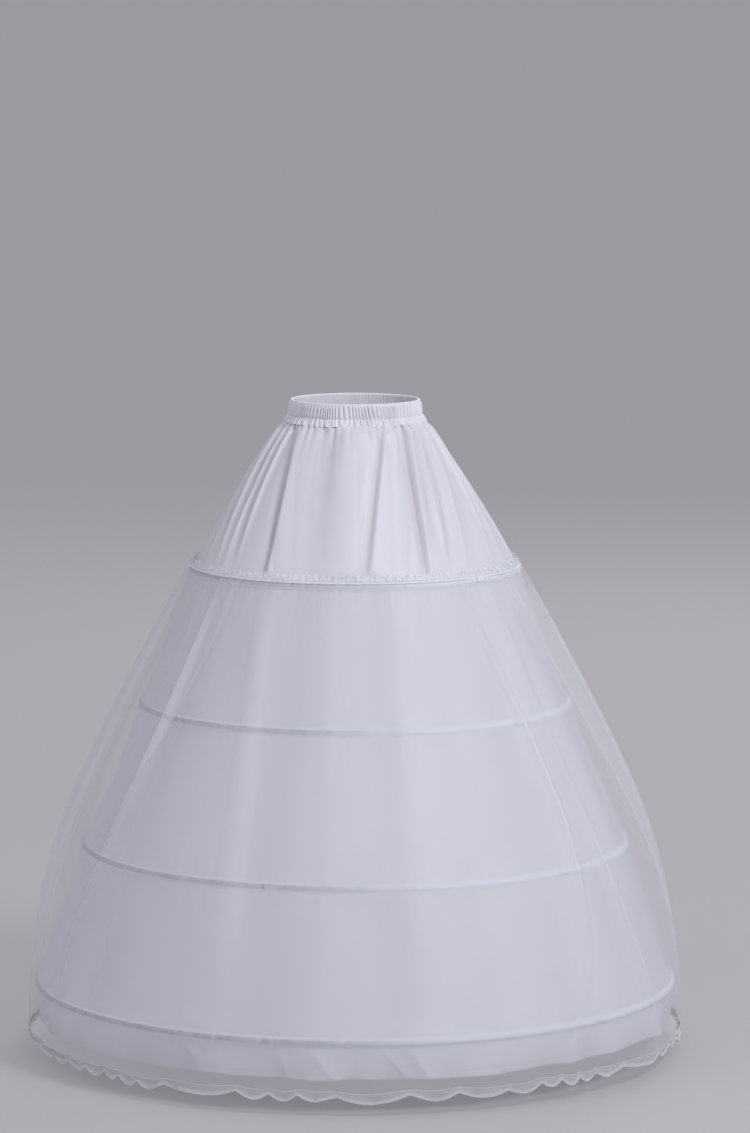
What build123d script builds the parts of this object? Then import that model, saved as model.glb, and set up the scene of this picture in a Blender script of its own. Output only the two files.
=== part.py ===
import math
import os

from build123d import *

os.makedirs("parts", exist_ok=True)

# Lengths are in millimetres. Z is the waist axis and points up, and the front faces -Y.
# Zero is the middle of the waist elastic. Drops are measured down from the top of the waistband.

# Waist
waist_opening_radius = 100.0
elastic_width = 26.0
elastic_thickness = 1.6
waistband_height = 34.0
waistband_above_elastic = 1.5
waistband_cloth = 1.0
shirr_count = 60
shirr_depth = 2.2

# Cloth and seams. Layers that are sewn together lie one seam gap apart.
skirt_cloth = 1.2
tape_cloth = 0.8
net_cloth = 1.0
seam_gap = 0.3

# Underskirt: its outside radius at the middle of each hoop, and how far the hem draws in below the last
top_hoop_radius = 262.0
second_hoop_radius = 344.0
third_hoop_radius = 437.0
bottom_hoop_radius = 513.0
hem_draw_in = 3.0
top_hoop_drop = 268.0
second_hoop_drop = 485.0
third_hoop_drop = 711.0
bottom_hoop_drop = 934.0
underskirt_drop = 992.0
skirt_facets = 40

# Hoops: flat steel strips, each open at one place and joined there by a sleeve
hoop_width = 5.0
hoop_thickness = 1.0
hoop_end_gap = 2.0
hoop_join_angle = -42.0
sleeve_length = 16.0
sleeve_wall = 0.4
sleeve_fit = 0.25
casing_width = 14.0

# Yoke, which tucks inside the top edge of the underskirt
yoke_folds = 26
yoke_waist_fold_share = 0.052
yoke_foot_fold_share = 0.026
yoke_tuck = 6.0

# Overskirt: how far the net stands off the second and third hoops, and its folds
second_hoop_standoff = 27.0
third_hoop_standoff = 27.0
overskirt_drop = 1006.0
overskirt_folds = 20
overskirt_heading_fold_share = 0.018
overskirt_middle_fold_share = 0.032
overskirt_hem_fold_share = 0.022

# Lace edge
lace_height = 18.0
lace_notch = 7.0
lace_points_on_crest = 4

# Folds differ in width and depth, and the lists repeat around the skirt.
fold_width_shares = (1.0, 0.7, 1.2, 0.85, 1.35, 0.9)
fold_depth_shares = (1.0, 0.6, 0.85, 0.45, 0.95, 0.7, 0.8)
even_depth_shares = (1.0,)
crest_end_share = 0.64
crease_share = 0.82

full_turn = 360.0
flat_limit = 1e-6


def level(drop):
    """Height of a point that lies a drop below the top of the waistband."""
    return elastic_width / 2 + waistband_above_elastic - drop


def at_angle(share, angle):
    return (share * math.cos(math.radians(angle)), share * math.sin(math.radians(angle)))


def plain_outline():
    """Outline of cloth drawn tight over a hoop, with a radius of one."""
    return [at_angle(1, full_turn * k / skirt_facets) for k in range(skirt_facets)]


def shirred_outline(depth_share):
    """Zigzag outline of shirred cloth, with a radius of one."""
    points = []
    for k in range(shirr_count):
        points.append(at_angle(1, full_turn * k / shirr_count))
        points.append(at_angle(1 - depth_share, full_turn * (k + 1 / 2) / shirr_count))
    return points


def folded_outline(folds, depth_share, depths=fold_depth_shares):
    """Outline of gathered cloth, with a radius of one: a broad crest and a crease for each fold."""
    widths = [fold_width_shares[k % len(fold_width_shares)] for k in range(folds)]
    points = []
    start = 0.0
    for k in range(folds):
        turn = full_turn * widths[k] / sum(widths)
        crease = 1 - depth_share * depths[k % len(depths)]
        points.append(at_angle(1, start))
        points.append(at_angle(1, start + turn * crest_end_share))
        points.append(at_angle(crease, start + turn * crease_share))
        start = start + turn
    return points


def ring(radius, height, outline):
    return [Vector(radius * x, radius * y, height) for x, y in outline]


def cloth_solid(loops):
    """Closed solid of flat facets between rings of points. The last ring joins the first."""
    facets = []
    for loop, after in zip(loops, loops[1:] + loops[:1]):
        for k in range(len(loop)):
            a, b, c, d = loop[k - 1], loop[k], after[k], after[k - 1]
            if abs((b - a).cross(c - a).dot(d - a)) < flat_limit:
                corners = [[a, b, c, d]]
            elif a.Z >= d.Z:
                corners = [[a, b, c], [a, c, d]]
            else:
                corners = [[a, b, d], [b, c, d]]
            facets.extend(Face(Wire.make_polygon(points)) for points in corners)
    return Solid(Shell(facets))


def cloth_wall(profile, cloth):
    """Wall of cloth inside a profile of radii, heights and outlines."""
    outside = [ring(radius, height, outline) for radius, height, outline in profile]
    inside = [ring(radius - cloth, height, outline) for radius, height, outline in reversed(profile)]
    return cloth_solid(outside + inside)


def radial_plane(angle):
    """Plane through the waist axis: its x runs outwards at the angle and its y runs up."""
    out = Vector(1, 0, 0).rotate(Axis.Z, angle)
    across = Vector(0, -1, 0).rotate(Axis.Z, angle)
    return Plane(origin=(0, 0, 0), x_dir=out, z_dir=across)


# Profile of the underskirt. It starts at the top edge of the top casing.
seam_drop = top_hoop_drop - casing_width / 2
top_slope = (second_hoop_radius - top_hoop_radius) / (second_hoop_drop - top_hoop_drop)
seam_radius = top_hoop_radius - top_slope * casing_width / 2
skirt_profile = [
    (seam_radius, level(seam_drop)),
    (second_hoop_radius, level(second_hoop_drop)),
    (third_hoop_radius, level(third_hoop_drop)),
    (bottom_hoop_radius, level(bottom_hoop_drop)),
    (bottom_hoop_radius - hem_draw_in, level(underskirt_drop)),
]
flat_share = math.cos(math.pi / skirt_facets)


def skirt_radius(height):
    """Outside radius of the underskirt at a height."""
    for above, below in zip(skirt_profile, skirt_profile[1:]):
        if height >= below[1]:
            break
    return above[0] + (below[0] - above[0]) * (above[1] - height) / (above[1] - below[1])


# Room that a hoop with its sleeve takes up in a casing
sleeve_depth = hoop_thickness + 2 * (sleeve_wall + sleeve_fit)
sleeve_width = hoop_width + 2 * (sleeve_wall + sleeve_fit)


class HoopSeat:
    """Where a casing lies on the underskirt. Its frame runs down along the cloth and out from it."""

    def __init__(self, drop, radius):
        middle = level(drop)
        top = Vector(skirt_radius(middle + casing_width / 2), middle + casing_width / 2)
        foot = Vector(skirt_radius(middle - casing_width / 2), middle - casing_width / 2)
        self.centre = (top + foot) / 2
        self.along = (foot - top).normalized()
        self.out = Vector(-self.along.Y, self.along.X)
        self.half = (foot - top).length / 2
        bulge = (Vector(radius, middle) - self.centre).dot(self.out)
        lift = max(bulge, 0) + seam_gap
        self.hoop_out = lift + sleeve_depth / 2
        # The tape is flat between corners, so it needs more room over a round hoop.
        self.roof = lift + sleeve_depth + seam_gap + radius * (1 - flat_share)

    def at(self, along, out):
        point = self.centre + self.along * along + self.out * out
        return (point.X, point.Y)

    def strip(self, width, depth):
        """Corners of a flat section, centred on the hoop."""
        near = self.hoop_out - depth / 2
        far = self.hoop_out + depth / 2
        return [
            self.at(-width / 2, near),
            self.at(width / 2, near),
            self.at(width / 2, far),
            self.at(-width / 2, far),
        ]

    def tape(self):
        """Section of the tape, sewn down at both edges and raised over the hoop."""
        flat = sleeve_width / 2 + seam_gap
        return [
            self.at(-self.half, seam_gap),
            self.at(-flat, self.roof + tape_cloth),
            self.at(flat, self.roof + tape_cloth),
            self.at(self.half, seam_gap),
            self.at(flat, self.roof),
            self.at(-flat, self.roof),
        ]


hoop_names = ("top", "second", "third", "bottom")
hoop_seats = [
    HoopSeat(top_hoop_drop, top_hoop_radius),
    HoopSeat(second_hoop_drop, second_hoop_radius),
    HoopSeat(third_hoop_drop, third_hoop_radius),
    HoopSeat(bottom_hoop_drop, bottom_hoop_radius),
]

# Waist elastic: its inside wall grips the waist.
with BuildPart() as elastic:
    with BuildSketch(Plane.XY.offset(-elastic_width / 2)):
        Circle(waist_opening_radius + elastic_thickness)
        Circle(waist_opening_radius, mode=Mode.SUBTRACT)
    extrude(amount=elastic_width)
elastic.part.label = "waist_elastic"
export_step(elastic.part, "parts/waist_elastic.step")

# Shirred waistband, sewn around the elastic
band_radius = waist_opening_radius + elastic_thickness + seam_gap + waistband_cloth + shirr_depth
band_outline = shirred_outline(shirr_depth / band_radius)
band_profile = [
    (band_radius, level(0), band_outline),
    (band_radius, level(waistband_height), band_outline),
]
with BuildPart() as waistband:
    add(cloth_wall(band_profile, waistband_cloth))
waistband.part.label = "waistband"
export_step(waistband.part, "parts/waistband.step")

# Gathered yoke, from the waistband down to just inside the underskirt
gather_radius = (waist_opening_radius + elastic_thickness) / (1 - yoke_waist_fold_share) + skirt_cloth
tuck_radius = (seam_radius - skirt_cloth) * flat_share - seam_gap
yoke_foot_outline = folded_outline(yoke_folds, yoke_foot_fold_share)
yoke_profile = [
    (
        gather_radius,
        level(waistband_height) - seam_gap,
        folded_outline(yoke_folds, yoke_waist_fold_share),
    ),
    (tuck_radius, level(seam_drop), yoke_foot_outline),
    (tuck_radius, level(seam_drop + yoke_tuck), yoke_foot_outline),
]
with BuildPart() as yoke:
    add(cloth_wall(yoke_profile, skirt_cloth))
yoke.part.label = "yoke"
export_step(yoke.part, "parts/yoke.step")

# Underskirt, drawn tight from hoop to hoop
with BuildPart() as underskirt:
    add(cloth_wall([(radius, height, plain_outline()) for radius, height in skirt_profile], skirt_cloth))
underskirt.part.label = "underskirt"
export_step(underskirt.part, "parts/underskirt.step")

# Hoops, the sleeves that join their ends, and the casings that hold them
for name, seat in zip(hoop_names, hoop_seats):
    gap_turn = math.degrees(hoop_end_gap / seat.at(0, seat.hoop_out)[0])

    with BuildPart() as hoop:
        with BuildSketch(radial_plane(hoop_join_angle + gap_turn / 2)):
            with BuildLine():
                Polyline(*seat.strip(hoop_width, hoop_thickness), close=True)
            make_face()
        revolve(axis=Axis.Z, revolution_arc=full_turn - gap_turn)
    hoop.part.label = f"{name}_hoop"
    export_step(hoop.part, f"parts/{name}_hoop.step")

    with BuildPart() as sleeve:
        with BuildSketch(radial_plane(hoop_join_angle)):
            with BuildLine():
                Polyline(*seat.strip(sleeve_width, sleeve_depth), close=True)
            make_face()
            with BuildLine():
                Polyline(*seat.strip(hoop_width + 2 * sleeve_fit, hoop_thickness + 2 * sleeve_fit), close=True)
            make_face(mode=Mode.SUBTRACT)
        extrude(amount=sleeve_length / 2, both=True)
    sleeve.part.label = f"{name}_hoop_sleeve"
    export_step(sleeve.part, f"parts/{name}_hoop_sleeve.step")

    with BuildPart() as casing:
        add(cloth_solid([ring(radius, height, plain_outline()) for radius, height in seat.tape()]))
    casing.part.label = f"{name}_hoop_casing"
    export_step(casing.part, f"parts/{name}_hoop_casing.step")

# Net overskirt: its creases lie on the top and bottom casings and stand off the two between.
# Along the top casing, where it is sewn on, every crease is as deep as the next.
standoffs = (seam_gap, second_hoop_standoff, third_hoop_standoff, seam_gap)
net_folds = (
    (overskirt_heading_fold_share, even_depth_shares),
    (overskirt_middle_fold_share, fold_depth_shares),
    (overskirt_middle_fold_share, fold_depth_shares),
    (overskirt_hem_fold_share, fold_depth_shares),
)
net_profile = []
for seat, standoff, (fold_share, depths) in zip(hoop_seats, standoffs, net_folds):
    tape_radius, net_height = max(seat.tape())
    crest_radius = (tape_radius + standoff + net_cloth) / (1 - fold_share)
    net_profile.append((crest_radius, net_height, folded_outline(overskirt_folds, fold_share, depths)))
net_hem_radius = net_profile[-1][0]
net_hem_outline = net_profile[-1][2]
net_profile.append((net_hem_radius, level(overskirt_drop), net_hem_outline))
with BuildPart() as overskirt:
    add(cloth_wall(net_profile, net_cloth))
overskirt.part.label = "overskirt"
export_step(overskirt.part, "parts/overskirt.step")

# Lace edge under the hem of the net. It follows the same folds, and every other point of its edge is a notch.
lace_outline = []
for k, (start, end) in enumerate(zip(net_hem_outline, net_hem_outline[1:] + net_hem_outline[:1])):
    steps = lace_points_on_crest if k % 3 == 0 else 1
    for step in range(steps):
        share = step / steps
        lace_outline.append((start[0] + (end[0] - start[0]) * share, start[1] + (end[1] - start[1]) * share))
lace_top = level(overskirt_drop) - seam_gap
lace_edge = [lace_top - lace_height + lace_notch * (k % 2) for k in range(len(lace_outline))]
outer_top = ring(net_hem_radius, lace_top, lace_outline)
inner_top = ring(net_hem_radius - net_cloth, lace_top, lace_outline)
outer_edge = [Vector(point.X, point.Y, height) for point, height in zip(outer_top, lace_edge)]
inner_edge = [Vector(point.X, point.Y, height) for point, height in zip(inner_top, lace_edge)]
with BuildPart() as lace:
    add(cloth_solid([outer_top, outer_edge, inner_edge, inner_top]))
lace.part.label = "lace_trim"
export_step(lace.part, "parts/lace_trim.step")
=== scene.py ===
import math

import bpy
import numpy as np
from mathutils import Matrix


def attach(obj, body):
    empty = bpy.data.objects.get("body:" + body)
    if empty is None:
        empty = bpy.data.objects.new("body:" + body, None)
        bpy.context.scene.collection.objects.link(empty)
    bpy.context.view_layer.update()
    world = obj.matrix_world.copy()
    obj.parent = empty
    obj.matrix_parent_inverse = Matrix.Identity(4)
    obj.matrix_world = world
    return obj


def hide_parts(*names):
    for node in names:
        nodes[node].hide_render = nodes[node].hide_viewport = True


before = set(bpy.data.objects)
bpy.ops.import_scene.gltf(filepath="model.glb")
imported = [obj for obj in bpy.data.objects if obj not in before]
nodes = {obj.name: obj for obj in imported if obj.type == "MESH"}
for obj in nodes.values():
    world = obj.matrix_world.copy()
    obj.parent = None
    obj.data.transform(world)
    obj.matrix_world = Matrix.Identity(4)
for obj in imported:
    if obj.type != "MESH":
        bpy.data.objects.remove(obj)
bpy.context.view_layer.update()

scene = bpy.context.scene
fullTurn = 2 * math.pi
diceOf = np.random.RandomState  # takes a fixed seed
print("frame loaded:", len(nodes), "nodes")


# Camera: the whole picture is 750 by 1133, so its long side is upright
view = dict(
    distance=8.10, elevation=7.08, target=(0.0318, 0.0, -0.2547),
    focalPixels=5062.0, longSide=1133.0, sensor=36.0,
)

cameraData = bpy.data.cameras.new("photoCamera")
cameraData.sensor_fit = "AUTO"
cameraData.sensor_width = view["sensor"]
cameraData.lens = view["sensor"] * view["focalPixels"] / view["longSide"]
cameraData.clip_end = 2000.0
camera = bpy.data.objects.new("photoCamera", cameraData)
tilt = math.radians(view["elevation"])
camera.location = (
    view["target"][0],
    view["target"][1] - view["distance"] * math.cos(tilt),
    view["target"][2] + view["distance"] * math.sin(tilt),
)
camera.rotation_euler = (math.pi / 2 - tilt, 0, 0)
scene.collection.objects.link(camera)
scene.camera = camera
print("camera set")


# Shared sizes in metres. A turn of zero is the front, and turns grow to the right.
skirt = dict(
    hoops=((0.2620, -0.2535), (0.3440, -0.4705), (0.4370, -0.6965), (0.5130, -0.9195)),
    hem=(0.5100, -0.9775),
    seam=-0.2465,
    joinTurn=48.0,
)


def skirtRadius(z):
    hoops = skirt["hoops"]
    slope = (hoops[1][0] - hoops[0][0]) / (hoops[0][1] - hoops[1][1])
    above = 0.05  # the cloth runs straight on for this much above the top hoop
    levels = [skirt["hem"], *hoops[::-1], (hoops[0][0] - slope * above, hoops[0][1] + above)]
    return np.interp(z, [level for _, level in levels], [radius for radius, _ in levels])


def skirtSlope(z):
    # Lean of the cloth from upright, in radians
    reach = 0.007  # half the width of a tape
    return float(np.arctan2(skirtRadius(z - reach) - skirtRadius(z + reach), 2 * reach))


def onTurn(radius, turn, z):
    radius, turn, z = np.broadcast_arrays(radius, turn, z)
    return np.stack([radius * np.sin(turn), -radius * np.cos(turn), z], axis=-1)


def turnsOf(columns):
    return np.arange(columns) * fullTurn / columns


def shortTurn(turn):
    return (turn + math.pi) % fullTurn - math.pi


def ramp(value, length):
    # Share of a length, from zero to one
    return np.clip(value / length, 0, 1)


# Cloth shapes. Each fold field is worked out on a grid of turns and levels.
def gatherWave(turn, count, dice, wander=0.7):
    # Round gathers with creases between: zero in a crease and one on a crest
    phase = count * turn / 2
    for k in (2, 3, 5, 8, 13):
        phase = phase + wander * dice.uniform(0.4, 1.0) * np.sin(k * turn + dice.uniform(0, fullTurn))
    return np.abs(np.sin(phase))


def softWave(turn, counts, dice, depth=0.0, sway=0.0):
    # Slow swell between about -1 and 1 that leans with depth
    total = 0
    for count in counts:
        total = total + dice.uniform(0.5, 1.0) * np.sin(
            count * (turn + sway * dice.uniform(-1, 1) * depth) + dice.uniform(0, fullTurn)
        )
    return total / (0.75 * math.sqrt(len(counts)) * 1.6)


def lappedFold(gap, lift, edge, rightReach, leftReach):
    # Cloth lapped over itself: it steps up at the line and eases away on both sides
    up = lift * np.exp(-np.maximum(gap, 0) / rightReach)
    down = -0.7 * lift * np.exp(np.minimum(gap, 0) / leftReach)
    share = 1 / (1 + np.exp(-np.clip(gap / edge, -30, 30)))
    return down * (1 - share) + up * share


def ridgeFold(gap, lift, width):
    return lift * np.exp(-np.power(np.abs(gap) / width, 1.25))


def roundFold(gap, lift, width):
    return lift * np.exp(-((gap / width) ** 2))


def tubePiece(name, grid, material, reach, **values):
    # Closed tube of quads from rows of points, with a UV map in metres and named values for the points
    rows, columns = grid.shape[:2]
    mesh = bpy.data.meshes.new(name)
    index = np.arange(rows * columns).reshape(rows, columns)
    nextIndex = np.roll(index, -1, axis=1)
    quads = np.stack([index[:-1], index[1:], nextIndex[1:], nextIndex[:-1]], axis=-1).reshape(-1, 4)
    mesh.from_pydata(grid.reshape(-1, 3).tolist(), [], quads.tolist())
    steps = np.linalg.norm(np.diff(grid[:, 0], axis=0), axis=1)
    down = np.concatenate([[0], np.cumsum(steps)])
    left = np.tile(np.arange(columns), (rows - 1, 1))
    top = np.tile(np.arange(rows - 1)[:, None], (1, columns))
    across = np.stack([left, left, left + 1, left + 1], axis=-1) / columns * reach
    along = down[np.stack([top, top + 1, top + 1, top], axis=-1)]
    uv = mesh.uv_layers.new(name="cloth")
    uv.data.foreach_set("uv", np.stack([across, along], axis=-1).astype(np.float32).ravel())
    mesh.polygons.foreach_set("use_smooth", np.ones(len(mesh.polygons), bool))
    mesh.materials.append(material)
    mesh.update()
    for label, value in values.items():
        layer = mesh.attributes.new(label, "FLOAT", "POINT")
        layer.data.foreach_set("value", np.asarray(value, np.float32).ravel())
    piece = bpy.data.objects.new(name, mesh)
    scene.collection.objects.link(piece)
    return piece


def hollowsOf(radius, span, scale):
    # How far each point lies inside the mean of the points beside it along the row, from zero to one
    mean = sum(np.roll(radius, step, axis=1) for step in range(-span, span + 1)) / (2 * span + 1)
    return ramp(mean - radius, scale)


def sheetArea(piece):
    areas = np.zeros(len(piece.data.polygons))
    piece.data.polygons.foreach_get("area", areas)
    return float(areas.sum())


# Node tools. An input takes a value, an output, or a node that stands for its first output.
def feed(node, inputs):
    for label, value in inputs.items():
        value = value.outputs[0] if hasattr(value, "outputs") else value
        if hasattr(value, "is_linked"):
            node.id_data.links.new(value, node.inputs[label])
        else:
            node.inputs[label].default_value = value


def addNode(tree, kind, inputs=None, **settings):
    node = tree.nodes.new(kind)
    for key, value in settings.items():
        setattr(node, key, value)
    feed(node, inputs or {})
    return node


def newTree(name, kind, inputs, outputs):
    # Each input is a label, the kind of its socket and the value it starts from
    tree = bpy.data.node_groups.new(name, kind)
    for label, socketKind, value in inputs:
        socket = tree.interface.new_socket(label, in_out="INPUT", socket_type="NodeSocket" + socketKind)
        if value is not None:
            socket.default_value = value
    for label, socketKind in outputs:
        tree.interface.new_socket(label, in_out="OUTPUT", socket_type="NodeSocket" + socketKind)
    return tree, addNode(tree, "NodeGroupInput").outputs, addNode(tree, "NodeGroupOutput")


def mathNode(operation, *values):
    tree = next(value.id_data for value in values if hasattr(value, "id_data"))
    return addNode(tree, "ShaderNodeMath", dict(enumerate(values)), operation=operation).outputs[0]


def vectorNode(tree, **parts):
    return addNode(tree, "ShaderNodeCombineXYZ", parts).outputs[0]


def noiseNode(vector, scale=1.0, detail=2.0, **more):
    inputs = {"Vector": vector, "Scale": scale, "Detail": detail, **more}
    return addNode(vector.id_data, "ShaderNodeTexNoise", inputs).outputs[0]


def colourMix(factor, low, high):
    inputs = {"Factor": factor}
    for index, colour in ((6, low), (7, high)):
        inputs[index] = colour if hasattr(colour, "is_linked") else (*colour, 1.0)
    return addNode(factor.id_data, "ShaderNodeMix", inputs, data_type="RGBA").outputs[2]


def spread(value, low, high, fromLow=0.3, fromHigh=0.7):
    inputs = {"Value": value, "From Min": fromLow, "From Max": fromHigh, "To Min": low, "To Max": high}
    return addNode(value.id_data, "ShaderNodeMapRange", inputs).outputs[0]


def splitNode(vector):
    return addNode(vector.id_data, "ShaderNodeSeparateXYZ", {0: vector}).outputs


def stretchNode(vector, scale):
    return addNode(vector.id_data, "ShaderNodeMapping", {"Vector": vector, "Scale": scale}).outputs[0]


# Plain weave: threads that pass over and under, with slubs in the yarn
weave, weaveIn, weaveOut = newTree(
    "threadWeave", "ShaderNodeTree",
    [("Vector", "Vector", None), ("Threads", "Float", 2200.0), ("Slub", "Float", 0.5)],
    [("Height", "Float"), ("Tint", "Float")],
)
weaveSplit = splitNode(weaveIn["Vector"])
warp, weft = [mathNode("SINE", mathNode("MULTIPLY", weaveSplit[axis], weaveIn["Threads"])) for axis in "XY"]
slubNoise = noiseNode(stretchNode(weaveIn["Vector"], (30.0, 700.0, 30.0)), detail=3.0)
slub = mathNode("MULTIPLY", slubNoise, weaveIn["Slub"])
over = mathNode("MULTIPLY_ADD", mathNode("MULTIPLY", warp, weft), 0.5)
feed(weaveOut, {"Height": mathNode("ADD", over, slub), "Tint": slubNoise})

# Soft creases: long low wrinkles left by sewing and folding
creases, creasesIn, creasesOut = newTree(
    "softCreases", "ShaderNodeTree",
    [("Vector", "Vector", None), ("Size", "Float", 14.0), ("Stretch", "Vector", (1.0, 1.0, 0.35))],
    [("Height", "Float"), ("Mask", "Float")],
)
creaseScale = addNode(
    creases, "ShaderNodeVectorMath", {0: creasesIn["Vector"], 1: creasesIn["Stretch"]}, operation="MULTIPLY"
)
creaseNoise = noiseNode(creaseScale, creasesIn["Size"], 2.5, Distortion=0.6)
feed(creasesOut, {"Height": mathNode("MULTIPLY", creaseNoise, 1.6), "Mask": creaseNoise})


def placeGroup(group, vector, **values):
    return addNode(vector.id_data, "ShaderNodeGroup", {"Vector": vector, **values}, node_tree=group).outputs


def newMaterial(name):
    material = bpy.data.materials.new(name)
    material.use_nodes = True
    tree = material.node_tree
    return material, tree.nodes["Principled BSDF"], addNode(tree, "ShaderNodeTexCoord").outputs


def meshValue(material, name):
    return addNode(material.node_tree, "ShaderNodeAttribute", attribute_name=name).outputs["Fac"]


def bumpChain(layers):
    # Each layer is a height and how far it stands up, in metres
    below = {}
    for height, distance in layers:
        bump = addNode(height.id_data, "ShaderNodeBump", {"Height": height, "Distance": distance, **below})
        below = {"Normal": bump}
    return bump.outputs[0]


# Painted shade: cloth is greyed towards this colour by each point's shade value, set in the creases and where
# the net's folds lie over the satin
hollowGrey = (0.57, 0.56, 0.60)


def clothMaterial(name, light, shade, sheen, rough, creaseSize, creaseLift, slubs):
    material, shader, coords = newMaterial(name)
    yarn = placeGroup(weave, coords["UV"], Threads=9000.0, Slub=slubs)
    rumple = placeGroup(creases, coords["Object"], Size=creaseSize)
    cloth = colourMix(spread(rumple["Mask"], 0.0, 1.0, 0.35, 0.65), shade, light)
    feed(shader, {
        "Base Color": colourMix(meshValue(material, "hollow"), cloth, hollowGrey),
        "Roughness": spread(yarn["Tint"], rough - 0.07, rough + 0.07),
        "Specular IOR Level": 0.35,
        "Sheen Weight": sheen,
        "Sheen Roughness": 0.35,
        "Normal": bumpChain([(rumple["Height"], creaseLift), (yarn["Height"], 0.00003)]),
    })
    return material


satin = clothMaterial(
    "satinWhite", light=(0.775, 0.775, 0.855), shade=(0.745, 0.742, 0.820),
    sheen=0.15, rough=0.48, creaseSize=9.0, creaseLift=0.0016, slubs=0.05,
)
bandCloth = clothMaterial(
    "shirredWhite", light=(0.86, 0.86, 0.93), shade=(0.80, 0.80, 0.87),
    sheen=0.18, rough=0.52, creaseSize=60.0, creaseLift=0.0004, slubs=0.12,
)


# Casing tape: ribbed, with the steel showing through as a cool line, and painted light and shade on that line:
# dark on the left and pale on the right
def tapeMaterial():
    material, shader, coords = newMaterial("casingTape")
    yarn = placeGroup(weave, coords["Object"], Threads=7000.0, Slub=0.4)
    rumple = placeGroup(creases, coords["Object"], Size=170.0, Stretch=(1.0, 1.0, 0.12))
    fromMiddle = mathNode("ABSOLUTE", mathNode("SUBTRACT", meshValue(material, "across"), 0.5))
    steelShow = spread(fromMiddle, 1.0, 0.0, 0.24, 0.34)
    # Painted light and shade: the steel line is pale on the right and dark on the left, with a slow change in
    # front and a quick one at the back
    place = splitNode(coords["Object"])
    behind = mathNode("MULTIPLY", mathNode("MAXIMUM", place["Y"], 0.0), 9.0)
    sideways = mathNode("MULTIPLY", place["X"], mathNode("ADD", behind, 1.0))
    paintedSideLight = spread(sideways, 0.0, 1.0, -0.10, 0.14)  # a slow change in front and a quick one at the back
    steelLineMask = mathNode("MULTIPLY", steelShow, spread(rumple["Mask"], 0.40, 1.0))
    paintedLitSteelTint = colourMix(paintedSideLight, (0.33, 0.36, 0.44), (0.76, 0.83, 0.95))
    cloth = colourMix(rumple["Mask"], (0.87, 0.875, 0.93), (0.91, 0.915, 0.965))
    feed(shader, {
        "Base Color": colourMix(steelLineMask, cloth, paintedLitSteelTint),
        "Roughness": spread(yarn["Tint"], 0.45, 0.62),
        "Specular IOR Level": 0.35,
        "Sheen Weight": 0.12,
        "Normal": bumpChain([(rumple["Height"], 0.0004), (yarn["Height"], 0.00008)]),
    })
    return material


tape = tapeMaterial()


# Sewing thread and lace cord: twisted yarn
def threadMaterial(name, colour, shade, scale):
    material, shader, coords = newMaterial(name)
    twist = noiseNode(coords["Object"], scale)
    feed(shader, {
        "Base Color": colourMix(twist, shade, colour),
        "Roughness": spread(twist, 0.5, 0.75),
        "Sheen Weight": 0.2,
        "Normal": bumpChain([(twist, 0.0002)]),
    })
    return material


thread = threadMaterial("sewingThread", (0.86, 0.86, 0.92), (0.72, 0.72, 0.79), 1500.0)
laceThread = threadMaterial("laceThread", (0.85, 0.85, 0.90), (0.75, 0.75, 0.81), 1200.0)


# Net: a fine mesh that is mostly holes, closer where a fold lays it double
def netMaterial(name, cover, colour):
    material, shader, coords = newMaterial(name)
    rumple = placeGroup(creases, coords["Object"], Size=7.0, Stretch=(1.0, 1.0, 0.22))["Mask"]
    feed(shader, {
        "Base Color": colourMix(rumple, [c * 0.96 for c in colour], colour),
        "Roughness": spread(rumple, 0.5, 0.7),
        "Alpha": mathNode("ADD", meshValue(material, "layers"), cover),
        "Sheen Weight": 0.35,
        "Sheen Roughness": 0.3,
    })
    return material


tulle = netMaterial("sheerNet", 0.29, (0.87, 0.87, 0.935))
frillNet = netMaterial("gatheredNet", 0.80, (0.935, 0.940, 1.0))


# Lace ground: closer towards the edge, with small worked dots
def laceMaterial():
    material, shader, coords = newMaterial("laceGround")
    down = splitNode(coords["UV"])["Y"]
    dots = addNode(
        material.node_tree, "ShaderNodeTexVoronoi", {"Vector": coords["UV"], "Scale": 310.0, "Randomness": 0.35},
        feature="F1", voronoi_dimensions="2D",
    ).outputs["Distance"]
    closer = spread(down, 0.18, 0.44, 0.0, 0.014)
    worked = spread(dots, 0.34, 0.0, 0.12, 0.40)
    feed(shader, {
        "Base Color": colourMix(dots, (0.88, 0.88, 0.935), (0.82, 0.82, 0.88)),
        "Roughness": spread(dots, 0.75, 0.55, 0.0, 0.5),
        "Alpha": mathNode("ADD", closer, worked),
        "Sheen Weight": 0.2,
        "Normal": bumpChain([(worked, 0.0004)]),
    })
    return material


laceGround = laceMaterial()


# Metal and elastic inside the casings and the waistband
def steelMaterial(name, colour, shade, rough):
    material, shader, coords = newMaterial(name)
    brushed = noiseNode(stretchNode(coords["Object"], (60.0, 60.0, 2500.0)), detail=4.0)
    feed(shader, {
        "Base Color": colourMix(brushed, shade, colour),
        "Roughness": spread(brushed, rough - 0.08, rough + 0.1),
        "Metallic": 1.0,
        "Normal": bumpChain([(brushed, 0.00005)]),
    })
    return material


def elasticMaterial():
    material, shader, coords = newMaterial("knitElastic")
    yarn = placeGroup(weave, coords["Object"], Threads=3600.0, Slub=0.6)
    feed(shader, {
        "Base Color": colourMix(yarn["Tint"], (0.70, 0.70, 0.71), (0.80, 0.80, 0.80)),
        "Roughness": spread(yarn["Tint"], 0.65, 0.8),
        "Normal": bumpChain([(yarn["Height"], 0.0003)]),
    })
    return material


springSteel = steelMaterial("springSteel", (0.58, 0.60, 0.63), (0.42, 0.44, 0.47), 0.38)
sleeveSteel = steelMaterial("crimpedSleeve", (0.66, 0.66, 0.67), (0.50, 0.50, 0.52), 0.32)
elasticKnit = elasticMaterial()
for nodeName, node in nodes.items():
    finish = elasticKnit if nodeName == "waist_elastic" else sleeveSteel if "sleeve" in nodeName else springSteel
    if node.data.materials:
        node.material_slots[0].material = finish
    else:
        node.data.materials.append(finish)
print("materials made")


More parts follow.
